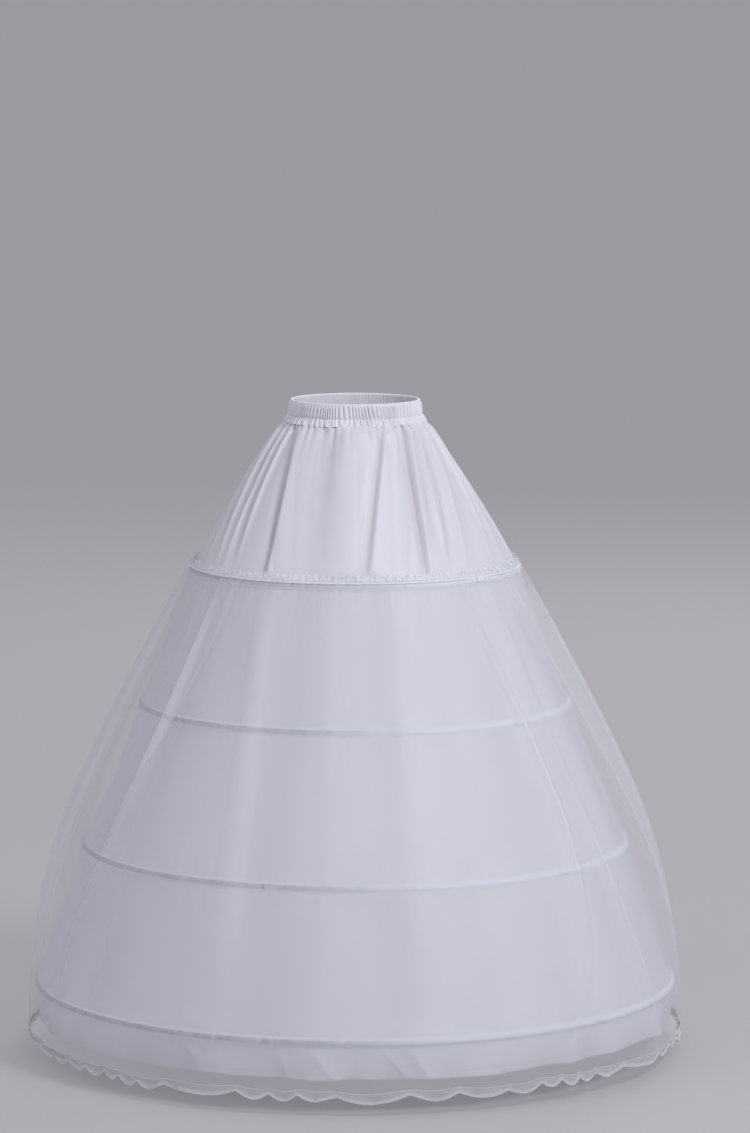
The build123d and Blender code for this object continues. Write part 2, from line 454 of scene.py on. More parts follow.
# Waistband: cloth shirred over the elastic, with a stitched row and a small frill below it
band = dict(
    columns=1416, ridges=118, outerRows=26, top=0.0145, foot=-0.0195, row=-0.0085,
    topRadius=0.1034, rowRadius=0.1066, footRadius=0.1120, ridge=0.0042, frill=0.0040, lining=0.0995, seed=11,
    liningRows=14, liningFoot=-0.0120, pinch=0.0009, pinchWidth=0.0016, footScallop=0.0012, edge=0.006,
)


def bandRadius(turn, z):
    dice = diceOf(band["seed"])
    top, row, foot, rowRadius = band["top"], band["row"], band["foot"], band["rowRadius"]
    radii = [band["footRadius"], rowRadius + 0.0014, rowRadius, band["topRadius"]]
    base = np.interp(z, [foot, row - 0.003, row, top], radii)
    lean = turn + 1.6 * (z - row) * np.sin(3 * turn + 1.0)
    ridge = gatherWave(lean, band["ridges"], dice, 1.5)
    size = 0.75 + 0.25 * softWave(turn, (9, 17, 31), dice)
    frill = gatherWave(turn + 0.01, band["ridges"] // 2, dice, 0.8)
    low = ramp(row - z, row - foot)
    pinch = np.exp(-((z - row) / band["pinchWidth"]) ** 2)
    edge = np.clip((top - z) / band["edge"], 0.25, 1)
    wave = band["ridge"] * size * (ridge - 0.5) * edge * (1 - 0.45 * low) * (1 - 0.35 * pinch)
    return base + wave + band["frill"] * low * (frill - 0.5) - band["pinch"] * pinch


def buildWaistband():
    turn = turnsOf(band["columns"])
    rows = []
    for z in np.linspace(band["liningFoot"], band["top"] - 0.001, band["liningRows"]):
        dice = diceOf(band["seed"] + 1)
        inner = band["lining"] - 0.0008 * gatherWave(turn, band["ridges"], dice, 0.9)
        rows.append(onTurn(inner, turn, z))
    crown = bandRadius(turn, np.full_like(turn, band["top"]))
    for share in (0.15, 0.5, 0.85):
        lift = band["top"] + 0.0007 * math.sin(math.pi * share)
        rows.append(onTurn(band["lining"] + (crown - band["lining"]) * share, turn, lift))
    for z in np.linspace(band["top"] - 0.0003, band["foot"], band["outerRows"]):
        rows.append(onTurn(bandRadius(turn, np.full_like(turn, z)), turn, z))
    dice = diceOf(band["seed"] + 2)
    grid = np.array(rows)
    grid[-1, :, 2] -= band["footScallop"] * gatherWave(turn, band["ridges"] // 2, dice)
    # Painted shade: the grooves between the gathers are greyed, half as much on the lining
    hollow = 0.70 * hollowsOf(np.linalg.norm(grid[:, :, :2], axis=2), 6, 0.0016)
    hollow[: -band["outerRows"]] *= 0.5
    return tubePiece("shirredBand", grid, bandCloth, 1.2, hollow=hollow)


bandPiece = buildWaistband()
print("waistband made")


# Yoke: gathers under the band run into long folds. Fold lines hang straighter than the cone flares.
yoke = dict(
    columns=1300, rows=62, seed=23, drift=27.0,
    profile=(
        (-0.0175, 0.1085), (-0.0215, 0.1128), (-0.029, 0.1175), (-0.06, 0.1402), (-0.104, 0.169),
        (-0.15, 0.1975), (-0.183, 0.2175), (-0.22, 0.24), (-0.247, 0.2572), (-0.2525, 0.2578),
    ),
    gathers=42, gather=0.0062, gatherFade=0.021, folds=15, fold=0.0060, straightWithin=58,
    # waist turn, foot turn, lift, edge, reach to the right, reach to the left
    laps=(
        (-53, -33, 0.0105, 0.0009, 0.055, 0.018),
        (24, 4.5, 0.0078, 0.0009, 0.026, 0.014),
        (44, 27, 0.0125, 0.0008, 0.013, 0.022),
        (-12.5, -12, 0.0135, 0.0072, 0.065, 0.075),
        (140, 133, 0.0065, 0.0012, 0.045, 0.016),
        (-118, -104, 0.0055, 0.0012, 0.04, 0.014),
        (-166, -160, 0.005, 0.0012, 0.035, 0.014),
        (101, 84, 0.0045, 0.0013, 0.03, 0.014),
    ),
    # waist turn, foot turn, lift, width
    ridges=(
        (-79, -60, 0.0085, 0.0032), (-69, -55, 0.0075, 0.0028), (-60, -49, 0.007, 0.0028),
        (-86, -70, 0.007, 0.0036), (56, 36, 0.008, 0.0036), (64, 44, 0.006, 0.0036), (76, 62, 0.0085, 0.003),
        (86, 70, 0.007, 0.0036), (16, -3, 0.004, 0.02), (34, 15, 0.0045, 0.008), (-98, -76, 0.005, 0.006),
        (120, 108, 0.005, 0.006), (160, 156, 0.005, 0.006), (-143, -136, 0.0055, 0.0055),
        (178, 178, 0.0045, 0.006),
    ),
)


def buildYoke():
    dice = diceOf(yoke["seed"])
    levels = np.array(yoke["profile"])[::-1]
    topLevel, footLevel = yoke["profile"][0][0], yoke["profile"][-1][0]
    z = (topLevel + (footLevel - topLevel) * np.linspace(0, 1, yoke["rows"]) ** 1.25)[:, None]
    turn = turnsOf(yoke["columns"])[None, :]
    radius = np.interp(z, levels[:, 0], levels[:, 1])
    depth = ramp(z - topLevel, skirt["seam"] - topLevel)
    drift = math.radians(yoke["drift"])
    waistTurn = turn
    for _ in range(24):
        waistTurn = turn + drift * depth * np.sin(waistTurn)
    below = topLevel - z
    gather = gatherWave(waistTurn, yoke["gathers"], dice, 0.9) - 0.5
    gather = gather * (0.75 + 0.3 * softWave(waistTurn, (5, 11, 19), dice))
    calm = np.exp(-(np.degrees(shortTurn(waistTurn)) + 15.0) ** 2 / 36.0**2)  # the front panel hangs smooth
    fade = 0.03 * (1 - calm) + 0.97 * np.exp(-below / yoke["gatherFade"])
    offset = yoke["gather"] * gather * fade * np.clip(0.35 + below / 0.008, 0, 1)
    fold = gatherWave(waistTurn, yoke["folds"], dice, 1.2) - 0.6
    fold = fold * (0.6 + 0.4 * softWave(waistTurn, (3, 7), dice))
    fold = fold * (1 - 0.95 * calm)
    swell = np.sin(math.pi * np.clip(depth * 0.88 + 0.06, 0, 1))
    offset = offset + yoke["fold"] * fold * (0.25 + 0.75 * swell)
    hold = ramp(below, 0.012) * (1 - 0.55 * ramp(depth - 0.6, 0.4) ** 2)

    def foldLine(waist, foot):
        # A fold near the front hangs in a straight line as seen from there
        if abs(waist) > yoke["straightWithin"]:
            return np.radians(waist + (foot - waist) * depth)
        start = levels[-1, 1] * math.sin(math.radians(waist))
        end = levels[1, 1] * math.sin(math.radians(foot))
        return np.arcsin((start + (end - start) * depth) / radius)

    for waist, foot, lift, edge, rightReach, leftReach in yoke["laps"]:
        gap = radius * shortTurn(turn - foldLine(waist, foot))
        offset = offset + lappedFold(gap, lift, edge * (1 + depth), rightReach, leftReach) * hold
    fade = hold * (1 - 0.85 * depth**1.6)
    for waist, foot, lift, width in yoke["ridges"]:
        gap = radius * shortTurn(turn - foldLine(waist, foot))
        offset = offset + ridgeFold(gap, lift, width * (1 + depth)) * fade
    foot = ramp(depth - 0.93, 0.07)
    offset = np.where(depth > 0.93, np.minimum(offset, 0.006 - 0.0045 * foot) * (1 - 0.35 * foot), offset)
    # Painted shade: the hollows between the folds and laps are greyed
    hollow = 0.55 * hollowsOf(offset, 14, 0.0030)
    return tubePiece("gatheredYoke", onTurn(radius + offset, turn, z), satin, 1.7, hollow=hollow)


yokePiece = buildYoke()
print("yoke made")


# Underskirt: drawn tight from hoop to hoop, slack between them, with a turned hem
underskirt = dict(
    columns=900, rowsBetween=26, hemRows=16, sag=0.0055, hemWave=0.0065, turnUp=0.016, seed=37,
    inset=0.0006, pucker=0.0011, puckers=150, puckerSeed=5, tapeHalf=0.0085,
    # soft bands of painted shade, standing in for the net's fold shadows on the satin: turn, width in degrees,
    # depth
    bands=(
        (-15.5, 6, 0.34), (8, 4, 0.28), (-33, 4, 0.2), (24, 3.5, 0.12), (41, 5, 0.2), (-52, 5, 0.2),
        (58, 4, 0.2), (-70, 6, 0.2), (77, 6, 0.24), (96, 7, 0.28), (118, 6, 0.22), (137, 7, 0.28),
        (160, 6, 0.24), (-178, 7, 0.28), (-155, 6, 0.24), (-131, 7, 0.28), (-108, 6, 0.22), (-89, 6, 0.22),
    ),
    # turn at the bottom casing, turn at the hem, lift, width
    hemFolds=(
        (9, 13, 0.004, 0.01), (4, 9.5, 0.003, 0.008), (-8, -3.5, 0.004, 0.012), (-14, -11, 0.003, 0.009),
        (27, 25, 0.0035, 0.01), (43, 40, 0.004, 0.01), (-31, -27, 0.0035, 0.011), (-47, -50, 0.004, 0.012),
        (66, 69, 0.0035, 0.011), (-71, -68, 0.0035, 0.011), (98, 95, 0.004, 0.012), (127, 130, 0.0035, 0.011),
        (158, 155, 0.004, 0.012), (-98, -101, 0.0035, 0.011), (-131, -128, 0.004, 0.012),
        (-163, -166, 0.0035, 0.011),
    ),
)


def buildUnderskirt():
    dice = diceOf(underskirt["seed"])
    turn = turnsOf(underskirt["columns"])
    stops = [skirt["seam"]] + [level for _, level in skirt["hoops"][1:]]
    rows = []
    for upper, lower in zip(stops, stops[1:]):
        waveSeed, fineSeed = [dice.randint(1000) for _ in range(2)]
        shares = (1 - np.cos(np.linspace(0, math.pi, underskirt["rowsBetween"]))) / 2
        for share in shares[:-1]:
            z = upper + (lower - upper) * share
            slack = math.sin(math.pi * share) ** 0.8
            wave = softWave(turn, (4, 7, 11, 16, 23), diceOf(waveSeed), share, 0.25)
            fine = gatherWave(turn + 0.02 * share, underskirt["puckers"], diceOf(fineSeed), 0.8)
            off = max(min(z - lower, upper - z) - underskirt["tapeHalf"], 0)  # flat under the tape itself
            nearTape = math.exp(-off / 0.016) * min(off / 0.004, 1)
            slack = slack * min(off / 0.02, 1)
            inward = underskirt["sag"] * slack * (0.55 + 0.45 * wave) + underskirt["pucker"] * nearTape * fine
            rows.append(onTurn(skirtRadius(z) - underskirt["inset"] - inward, turn, z))
    top, foot = stops[-1], skirt["hem"][1]
    edge = softWave(turn, (9, 15, 24, 38), dice)
    level = softWave(turn, (5, 13, 29), dice)
    puckers = gatherWave(turn, underskirt["puckers"], diceOf(underskirt["puckerSeed"]), 0.8)
    for share in np.linspace(0, 1, underskirt["hemRows"]):
        z = top + (foot - top) * share + 0.0022 * share * level
        loose = max(share - 0.14, 0) / 0.86
        flare = underskirt["hemWave"] * loose ** 1.3 * edge
        for start, end, lift, width in underskirt["hemFolds"]:
            gap = skirt["hem"][0] * shortTurn(turn - np.radians(start + (end - start) * share))
            flare = flare + ridgeFold(gap, lift * min(loose * 3, 1), width)
        fine = underskirt["pucker"] * math.exp(-share * 4) * min(loose * 12, 1) * puckers
        rows.append(onTurn(skirtRadius(z) - underskirt["inset"] - fine + flare, turn, z))
    hemGrid = rows[-1]
    hemRadius = np.hypot(hemGrid[:, 0], hemGrid[:, 1])
    for drop, tuck in ((0.0006, 0.0008), (0.0, 0.0016)):
        rows.append(onTurn(hemRadius - tuck, turn, hemGrid[:, 2] - drop))
    for rise in np.linspace(0.002, underskirt["turnUp"], 4):
        rows.append(onTurn(hemRadius - 0.0018 - 0.02 * rise, turn, hemGrid[:, 2] + rise))
    # Painted shade in soft upright bands where the net's folds would shadow the satin
    shade = 0 * turn
    for middle, width, depth in underskirt["bands"]:
        shade = shade + roundFold(np.degrees(shortTurn(turn - math.radians(middle))), depth, width)
    return tubePiece("satinSkirt", np.array(rows), satin, 3.2, hollow=np.tile(shade, (len(rows), 1)))


underskirtPiece = buildUnderskirt()
print("underskirt made")


# Geometry Nodes tools
def growTree(name, inputs):
    geometry = ("Geometry", "Geometry", None)
    return newTree(name, "GeometryNodeTree", [geometry, *inputs], [geometry[:2]])


def closeTree(tree, result, last, material):
    smooth = addNode(tree, "GeometryNodeSetShadeSmooth", {0: last})
    real = addNode(tree, "GeometryNodeRealizeInstances", {0: smooth})
    feed(result, {0: addNode(tree, "GeometryNodeSetMaterial", {"Geometry": real, "Material": material})})
    return tree


def growPiece(name, paths, tree, values, closed=True):
    # Runs a tree on a guide of edges, one loop or line for each path, and keeps the result as a plain mesh
    points, edges = [], []
    for path in paths:
        start = len(points)
        points.extend(path.tolist())
        edges.extend((start + k, start + k + 1) for k in range(len(path) - 1))
        if closed:
            edges.append((start + len(path) - 1, start))
    guide = bpy.data.meshes.new(name + "Guide")
    guide.from_pydata(points, edges, [])
    holder = bpy.data.objects.new(name + "Guide", guide)
    scene.collection.objects.link(holder)
    modifier = holder.modifiers.new(tree.name, "NODES")
    modifier.node_group = tree
    for item in tree.interface.items_tree:
        if item.in_out == "INPUT" and item.name in values:
            modifier[item.identifier] = values[item.name]
    grown = holder.evaluated_get(bpy.context.evaluated_depsgraph_get())
    mesh = bpy.data.meshes.new_from_object(grown)
    mesh.name = name
    holder.modifiers.remove(modifier)
    bpy.data.objects.remove(holder)
    bpy.data.meshes.remove(guide)
    piece = bpy.data.objects.new(name, mesh)
    scene.collection.objects.link(piece)
    return piece


# Casing tree: a tape section swept along the line of the hoop, sewn flat at both edges
casing = dict(
    width=0.014, lift=0.0021, sleeveLift=0.0009, segments=240, rowAt=0.085, rowLift=0.0003, pitch=0.0034,
    thread=0.00042,
    # shares of the half width: the flank over the hoop, and the edge that is tucked down
    flank=(0.72, 0.46), tuckAt=(0.93, 1.0), tuck=0.0010, cloth=0.0003,
    # distance from the join where the tape starts to rise over the sleeve, and where it is up
    sleeveReach=(0.030, 0.022),
)


def easeNode(value, start, end):
    inputs = {"Value": value, "From Min": start, "From Max": end}
    return addNode(value.id_data, "ShaderNodeMapRange", inputs, interpolation_type="SMOOTHSTEP").outputs[0]


def casingTree():
    tree, given, result = growTree("tapeCasing", [
        ("Tape Width", "Float", 0.014), ("Hoop Lift", "Float", 0.0042), ("Edge Drop", "Float", 0.0005),
        ("Slope", "Float", 0.0), ("Tape", "Material", None),
    ])
    half = mathNode("MULTIPLY", given["Tape Width"], 0.5)
    start, end = [vectorNode(tree, Y=mathNode("MULTIPLY", half, sign)) for sign in (1.0, -1.0)]
    section = addNode(tree, "GeometryNodeCurvePrimitiveLine", {"Start": start, "End": end}, mode="POINTS")
    finer = addNode(tree, "GeometryNodeResampleCurve", {"Curve": section, "Count": 25}, mode="COUNT")
    keep = addNode(tree, "GeometryNodeCaptureAttribute")
    keep.capture_items.new("FLOAT", "across")
    feed(keep, {0: finer, 1: addNode(tree, "GeometryNodeSplineParameter").outputs["Factor"]})
    across = keep.outputs[1]
    fromMiddle = mathNode("ABSOLUTE", mathNode("SUBTRACT", mathNode("MULTIPLY", across, 2.0), 1.0))
    raised = mathNode("MULTIPLY", easeNode(fromMiddle, *casing["flank"]), given["Hoop Lift"])
    lying = mathNode("MULTIPLY", fromMiddle, given["Edge Drop"])
    tucked = mathNode("MULTIPLY", easeNode(fromMiddle, *casing["tuckAt"]), casing["tuck"])
    outward = mathNode("SUBTRACT", mathNode("SUBTRACT", raised, lying), tucked)
    rise = vectorNode(tree, X=mathNode("ADD", outward, casing["cloth"]))
    shaped = addNode(tree, "GeometryNodeSetPosition", {"Geometry": keep, "Offset": rise})
    angle = vectorNode(tree, Z=mathNode("MULTIPLY", given["Slope"], -1.0))
    turned = addNode(tree, "GeometryNodeTransform", {"Geometry": shaped, "Rotation": angle})
    line = addNode(tree, "GeometryNodeMeshToCurve", {0: given["Geometry"]})
    upright = addNode(tree, "GeometryNodeSetCurveNormal", {0: line}, mode="Z_UP")
    sweep = addNode(tree, "GeometryNodeCurveToMesh", {"Curve": upright, "Profile Curve": turned})
    store = addNode(
        tree, "GeometryNodeStoreNamedAttribute", {"Geometry": sweep, "Name": "across", "Value": across},
        data_type="FLOAT", domain="POINT",
    )
    return closeTree(tree, result, store, given["Tape"])


# Stitch tree: short rounded threads set end to end along a sewn line
def stitchTree():
    tree, given, result = growTree("stitchRow", [
        ("Pitch", "Float", 0.0032), ("Thread", "Float", 0.00045), ("Length Share", "Float", 0.78),
        ("Seed", "Int", 3), ("Yarn", "Material", None),
    ])
    line = addNode(tree, "GeometryNodeMeshToCurve", {0: given["Geometry"]})
    even = addNode(tree, "GeometryNodeResampleCurve", {"Curve": line, "Length": given["Pitch"]}, mode="LENGTH")
    tangent = addNode(tree, "GeometryNodeInputTangent")
    aim = addNode(tree, "FunctionNodeAlignRotationToVector", {"Vector": tangent}, axis="Z")
    bead = addNode(tree, "GeometryNodeMeshUVSphere", {"Segments": 5, "Rings": 4, "Radius": 1.0})
    length = mathNode("MULTIPLY", given["Pitch"], given["Length Share"])
    size = vectorNode(tree, X=given["Thread"], Y=given["Thread"], Z=mathNode("MULTIPLY", length, 0.5))
    jitter = addNode(
        tree, "FunctionNodeRandomValue", {0: (0.85, 0.85, 0.85), 1: (1.15, 1.15, 1.1), "Seed": given["Seed"]},
        data_type="FLOAT_VECTOR",
    )
    scale = addNode(tree, "ShaderNodeVectorMath", {0: size, 1: jitter}, operation="MULTIPLY")
    sewn = addNode(
        tree, "GeometryNodeInstanceOnPoints", {"Points": even, "Instance": bead, "Rotation": aim, "Scale": scale}
    )
    return closeTree(tree, result, sewn, given["Yarn"])


# Cord tree: a round thread laid along every line of the guide
def cordTree():
    tree, given, result = growTree("laceCord", [
        ("Radius", "Float", 0.0004), ("Sides", "Int", 4), ("Yarn", "Material", None),
    ])
    line = addNode(tree, "GeometryNodeMeshToCurve", {0: given["Geometry"]})
    circle = {"Resolution": given["Sides"], "Radius": given["Radius"]}
    section = addNode(tree, "GeometryNodeCurvePrimitiveCircle", circle, mode="RADIUS")
    sweep = addNode(tree, "GeometryNodeCurveToMesh", {"Curve": line, "Profile Curve": section})
    return closeTree(tree, result, sweep, given["Yarn"])


tapeCasing = casingTree()
stitchRow = stitchTree()
laceCord = cordTree()


def sewRow(name, paths, pitch, width, seed, closed=True):
    values = {"Pitch": pitch, "Thread": width, "Seed": seed, "Yarn": thread}
    return growPiece(name, paths, stitchRow, values, closed)


def layCord(name, paths, radius, sides, closed=True):
    return growPiece(name, paths, laceCord, {"Radius": radius, "Sides": sides, "Yarn": laceThread}, closed)


# Casings with a stitched row along each edge
casingNames = ("top", "second", "third", "bottom")
casingPieces, casingRows, lapPieces, lapBars = [], [], [], []
ringTurn = turnsOf(casing["segments"])
# Each tape starts and ends in a short lap over the join of its hoop, barred at both ends
lap = dict(length=0.018, lift=0.0007, pitch=0.0022, thread=0.00045, points=9, barAt=0.82, barLift=0.0003)
lapLift = casing["lift"] + casing["sleeveLift"] + lap["lift"]


def ease(value, start, end):
    part = ramp(value - start, end - start)
    return part * part * (3 - 2 * part)


class TapeSeat:
    # Where a tape lies: its middle, its lean and how far its edges drop to the cloth
    def __init__(self, radius, level):
        self.radius, self.level, self.slope = radius, level, skirtSlope(level)
        half = casing["width"] / 2
        chord = (skirtRadius(level + half) + skirtRadius(level - half)) / 2
        self.drop = float(radius - chord) * math.cos(self.slope)

    def at(self, share, lift):
        # Radius and level at a share of the way across the tape
        up = casing["width"] * (0.5 - share)
        fromMiddle = np.abs(1 - 2 * share)
        out = lift * ease(fromMiddle, *casing["flank"]) - self.drop * fromMiddle
        out = out + casing["cloth"] - casing["tuck"] * ease(fromMiddle, *casing["tuckAt"])
        return (
            self.radius - up * math.sin(self.slope) + out * math.cos(self.slope),
            self.level + up * math.cos(self.slope) + out * math.sin(self.slope),
        )

    def tape(self, name, turn, lift, closed):
        line = onTurn(self.radius, turn, self.level)
        values = {"Tape Width": casing["width"], "Hoop Lift": lift, "Edge Drop": self.drop, "Slope": self.slope}
        return growPiece(name, [line], tapeCasing, {**values, "Tape": tape}, closed)

    def clearSleeve(self, piece):
        # The tape stands a little higher where the sleeve joins the hoop
        points = np.array([vertex.co for vertex in piece.data.vertices])
        across = np.zeros(len(points), np.float32)
        piece.data.attributes["across"].data.foreach_get("value", across)
        turn = np.arctan2(points[:, 0], -points[:, 1])
        gap = np.abs(self.radius * shortTurn(turn - math.radians(skirt["joinTurn"])))
        lift = casing["sleeveLift"] * ease(gap, *casing["sleeveReach"])
        lift = lift * ease(np.abs(1 - 2 * across), *casing["flank"])
        points += onTurn(lift * math.cos(self.slope), turn, lift * math.sin(self.slope))
        piece.data.vertices.foreach_set("co", points.astype(np.float32).ravel())
        piece.data.update()


for name, (hoopRadius, hoopLevel) in zip(casingNames, skirt["hoops"]):
    seat = TapeSeat(hoopRadius, hoopLevel)
    casingPieces.append(seat.tape(name + "Casing", ringTurn, casing["lift"], True))
    seat.clearSleeve(casingPieces[-1])
    rows = []
    for share in (casing["rowAt"], 1 - casing["rowAt"]):
        radius, level = seat.at(share, casing["lift"])
        rows.append(onTurn(radius + casing["rowLift"], ringTurn, level))
    casingRows.append(sewRow(name + "CasingStitches", rows, casing["pitch"], casing["thread"], 3))
    middle, span = math.radians(skirt["joinTurn"]), lap["length"] / 2 / seat.radius
    arc = np.linspace(middle - span, middle + span, lap["points"])
    lapPieces.append(seat.tape(name + "TapeLap", arc, lapLift, False))
    radius, level = seat.at(np.linspace(0.06, 0.94, 12), lapLift + lap["barLift"])
    bars = [onTurn(radius, middle + side * span * lap["barAt"], level) for side in (-1, 1)]
    lapBars.append(sewRow(name + "LapBars", bars, lap["pitch"], lap["thread"], 4, closed=False))
print("casings made")


# Net overskirt: sewn to the top casing, then a bell down to the hem
net = dict(
    columns=1400, rows=58, seed=51,
    profile=(
        (-0.246, 0.261), (-0.249, 0.263), (-0.253, 0.2658), (-0.26, 0.2702), (-0.2965, 0.291), (-0.3895, 0.34),
        (-0.4845, 0.3895), (-0.5855, 0.438), (-0.6435, 0.462), (-0.6945, 0.48), (-0.7375, 0.492),
        (-0.8145, 0.5095), (-0.8715, 0.5175), (-0.9175, 0.5225), (-0.992, 0.5245),
    ),
    gathers=84, gather=0.0016, swell=0.0070, hemLevel=0.0030, sag=0.16, clear=0.0012, casingClear=0.0050,
    ease=0.0015, lobes=52, lobe=0.0028, lobeSeed=72, edge=0.20, edgeWidth=0.0016, headRows=8, headShare=0.022,
    # turn at the heading, turn half way, turn at the hem, lift, width
    folds=(
        (-51.5, -54.6, -70, 0.011, 0.009), (-29.5, -23.5, -26, 0.008, 0.018), (-80, -77, -84, 0.01, 0.011),
        (-96, -99, -95, 0.01, 0.012), (-10, -5, -9, 0.005, 0.018), (14, 11, 13, 0.005, 0.016),
        (36, 45.5, 40, 0.008, 0.008), (60, 74, 86, 0.01, 0.01), (50, 52, 68, 0.008, 0.01),
        (92, 90, 96, 0.01, 0.012), (116, 112, 119, 0.009, 0.011), (139, 142, 137, 0.01, 0.011),
        (164, 161, 166, 0.009, 0.011), (-172, -169, -173, 0.01, 0.011), (-148, -151, -146, 0.009, 0.011),
        (-121, -118, -124, 0.01, 0.011),
    ),
    # where the net lies double: its two sides as turns, shares of the drop to start and end, how much closer
    doubles=(
        ((-51.5, -54.6, -70), (-41.9, -56, -80), 0, 0.6, 0.13),
        ((60, 74, 86), (104, 108, 106), 0.05, 0.97, 0.12), ((-33, -26.5, -30), (-25, -20, -22), 0, 0.75, 0.05),
        ((130, 136, 131), (143, 147, 150), 0, 0.8, 0.11),
        ((-152, -155, -150), (-141, -139, -146), 0.05, 0.9, 0.11),
        ((168, 166, 172), (179, 174, 176), 0, 0.7, 0.1),
        ((-118, -114, -121), (-108, -106, -103), 0, 0.95, 0.11),
    ),
    # bright edges of folds: turns, the share of the drop where each starts and ends
    edges=(
        ((-51.5, -54.6, -70), 0, 0.95), ((-41.9, -56, -80), 0, 0.4), ((36, 45.5, 40), 0.3, 0.66),
        ((60, 74, 86), 0.15, 0.95), ((50, 52, 68), 0.52, 0.95), ((130, 136, 131), 0, 0.8),
        ((-141, -139, -146), 0.05, 0.9), ((-118, -114, -121), 0, 0.95), ((168, 166, 172), 0, 0.7),
        ((-77, -73, -81), 0.2, 0.9),
    ),
)


def netLine(turns, share):
    # Turn of a fold at a share of the drop, in radians
    heading, half, hem = turns
    return np.radians(heading + (hem - heading) * share + (half - (heading + hem) / 2) * 4 * share * (1 - share))


def netLayers(turn, share, radius):
    # How much closer the net is than a single layer
    def runs(start, end):
        return np.clip((share - start) / 0.03 + 0.5, 0, 1) * ramp(end - share, 0.12)

    layers = 0.022 * softWave(turn, (3, 5, 9, 14), diceOf(net["seed"] + 1), share, 0.3)
    sag = ramp(share - 0.90, 0.08) * np.exp(-(((np.degrees(shortTurn(turn)) + 62) / 34) ** 4))
    layers = layers + net["sag"] * sag  # it lies closer along the left of the hem
    for left, right, start, end, closer in net["doubles"]:
        fromLeft = radius * shortTurn(turn - netLine(left, share))
        fromRight = radius * shortTurn(netLine(right, share) - turn)
        soft = 0.0015 if closer > 0.06 else 0.010
        inside = ramp(fromLeft, soft) * ramp(fromRight, soft)
        layers = layers + closer * inside * runs(start, end)
    for turns, start, end in net["edges"]:
        gap = radius * shortTurn(turn - netLine(turns, share))
        bright = net["edge"] * np.exp(-(gap / net["edgeWidth"]) ** 2)
        layers = layers + bright * runs(start, end)
    return layers


def smoothProfile(points, z):
    # Smooth cubic through the points
    zs, rs = np.array(points)[::-1].T
    step, rise = np.diff(zs), np.diff(rs)
    slope = rise / step
    tangent = np.concatenate([[slope[0]], (slope[1:] + slope[:-1]) / 2, [slope[-1]]])
    k = np.clip(np.searchsorted(zs, z) - 1, 0, len(step) - 1)
    s = (z - zs[k]) / step[k]
    return (
        (2 * s**3 - 3 * s**2 + 1) * rs[k] + (s**3 - 2 * s**2 + s) * step[k] * tangent[k]
        + (3 * s**2 - 2 * s**3) * rs[k + 1] + (s**3 - s**2) * step[k] * tangent[k + 1]
    )


def netFloor(z):
    # Closest the net may come to the casings and the skirt below it
    lift = net["clear"]
    for _, level in skirt["hoops"]:
        near = np.clip((0.014 - np.abs(z - level)) / 0.005, 0, 1)
        lift = np.maximum(lift, net["casingClear"] * near)
    return skirtRadius(z) + lift


def hemLobes(turn):
    # Waves that the lace pulls the hem into
    return gatherWave(turn, net["lobes"], diceOf(net["lobeSeed"]), 1.6)


def netSurface(turn, share):
    # Point of the net at a turn and a share of its drop, for arrays of the same shape
    dice = diceOf(net["seed"])
    top, foot = net["profile"][0][0], net["profile"][-1][0]
    z = top + (foot - top) * share
    radius = smoothProfile(net["profile"], z)
    below = np.maximum(skirt["hoops"][0][1] - z, 0)
    gather = gatherWave(turn, net["gathers"], dice, 0.9) - 0.3
    offset = net["gather"] * gather * np.exp(-below / 0.03) * ramp(below, 0.004)
    body = ramp(below, 0.10)
    hemward = ramp(share - 0.72, 0.2)
    swell = softWave(turn, (5, 8, 13, 19), dice, share, 0.22)
    offset = offset + net["swell"] * swell * body * (1 - 0.55 * hemward)
    full = 0.45 + 0.55 * np.sin(math.pi * np.clip(share * 0.85 + 0.1, 0, 1))
    for *turns, lift, width in net["folds"]:
        gap = radius * shortTurn(turn - netLine(turns, share))
        size = lift * body * full * (1 - 0.5 * hemward)
        offset = offset + roundFold(gap, size, width * (0.8 + 0.9 * share))
        offset = offset - 0.35 * roundFold(gap, size, 3.2 * width)  # a hollow along both sides
    level = softWave(turn, (6, 11, 17, 27), dice)
    dip = net["lobe"] * (hemLobes(turn) - 0.6) * ramp(share - 0.93, 0.07) ** 2
    z = z + net["hemLevel"] * level * hemward - dip
    lowest = netFloor(z)
    clear = (radius + offset - lowest) / net["ease"]  # eased so that the net lies softly where it touches
    eased = np.where(clear > 20, clear, np.log1p(np.exp(np.minimum(clear, 20))))
    radius = lowest + net["ease"] * eased
    under = np.clip((skirt["hoops"][0][1] - z) / 0.004 + 0.5, 0, 1)
    sewnOn = smoothProfile(net["profile"], z) * (1 - under) + radius * under
    return np.where(under < 1, sewnOn, radius), z


def buildOverskirt():
    head = np.linspace(0, net["headShare"], net["headRows"])
    rest = np.linspace(net["headShare"], 1, net["rows"])[1:]
    share = np.concatenate([head, rest])[:, None]
    turn, share = np.broadcast_arrays(turnsOf(net["columns"])[None, :], share)
    radius, z = netSurface(turn, share)
    layers = netLayers(turn, share, radius)
    return tubePiece("netSkirt", onTurn(radius, turn, z), tulle, 3.6, layers=layers)


overskirtPiece = buildOverskirt()
print("overskirt made")


# Heading frill: the gathered raw edge of the net, doubled along the top casing
heading = dict(
    columns=1300, rise=0.0084, drop=0.0036, gathers=150, depth=0.0012, seed=61, up=0.0072,
    seamRadius=0.2614, lean=0.0062, flare=0.0032, frays=2200, frayLength=0.0042, frayThread=0.00014,
)
headingLevel = skirt["hoops"][0][1] + heading["up"]


